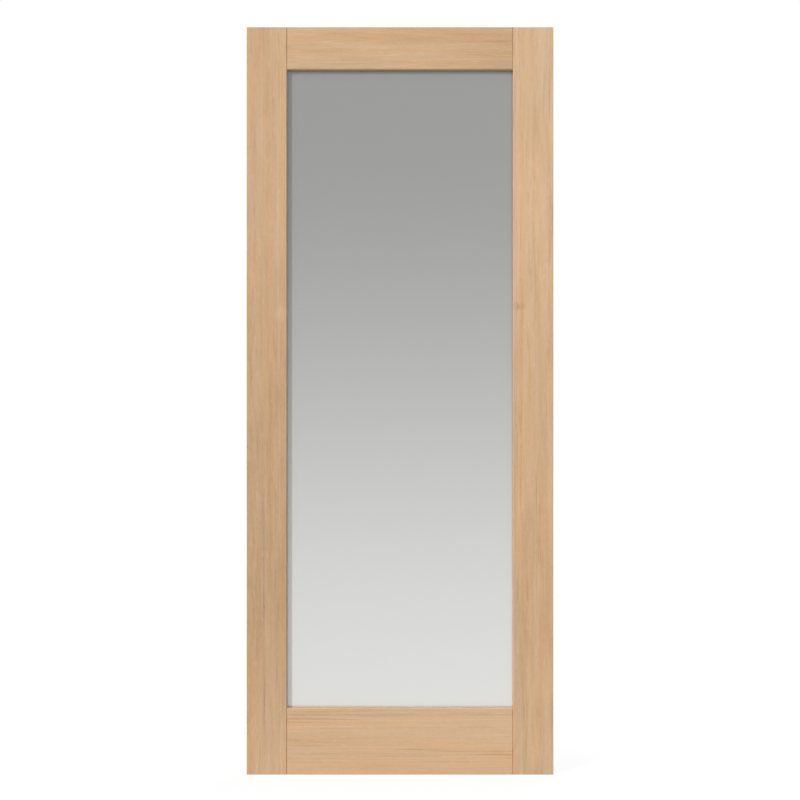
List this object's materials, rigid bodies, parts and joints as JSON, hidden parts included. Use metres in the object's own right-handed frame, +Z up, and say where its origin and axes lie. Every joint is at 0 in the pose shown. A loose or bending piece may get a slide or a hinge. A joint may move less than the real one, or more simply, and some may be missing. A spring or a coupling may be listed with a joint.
{
  "type": "glazed interior door leaf",
  "caption": "Veneered oak interior door leaf: two stiles, top and bottom rails, and one full-height pane held in a rebate by mitred beads at the back.",
  "frame": {"origin": "on the hinge edge of the leaf (the left edge seen from the front), in the middle of its thickness, at its foot", "axes": "+Z up the leaf's height, +X across the leaf from the hinge edge to the lock edge, +Y through the thickness from the front face to the back"},
  "size_m": [0.813, 0.035, 1.981],
  "materials": {
    "oak_veneer": "satin lacquer",
    "oak_lipping": "satin lacquer",
    "core_staves": "sawn, bare",
    "safety_glass": "satin",
    "glazing_tape": "closed-cell foam"
  },
  "bodies": {
    "root": {"back_tape_bottom": "glazing_tape", "back_tape_left": "glazing_tape", "back_tape_right": "glazing_tape", "back_tape_top": "glazing_tape", "bottom_rail_back_veneer": "oak_veneer", "bottom_rail_core": "core_staves", "bottom_rail_front_veneer": "oak_veneer", "bottom_rail_opening_lipping": "oak_lipping", "front_tape_bottom": "glazing_tape", "front_tape_left": "glazing_tape", "front_tape_right": "glazing_tape", "front_tape_top": "glazing_tape", "glass_pane": "safety_glass", "glazing_bead_bottom": "oak_lipping", "glazing_bead_left": "oak_lipping", "glazing_bead_right": "oak_lipping", "glazing_bead_top": "oak_lipping", "left_stile_back_veneer": "oak_veneer", "left_stile_core": "core_staves", "left_stile_edge_lipping": "oak_lipping", "left_stile_front_veneer": "oak_veneer", "left_stile_opening_lipping": "oak_lipping", "right_stile_back_veneer": "oak_veneer", "right_stile_core": "core_staves", "right_stile_edge_lipping": "oak_lipping", "right_stile_front_veneer": "oak_veneer", "right_stile_opening_lipping": "oak_lipping", "top_rail_back_veneer": "oak_veneer", "top_rail_core": "core_staves", "top_rail_front_veneer": "oak_veneer", "top_rail_opening_lipping": "oak_lipping"}
  },
  "joints": []
}
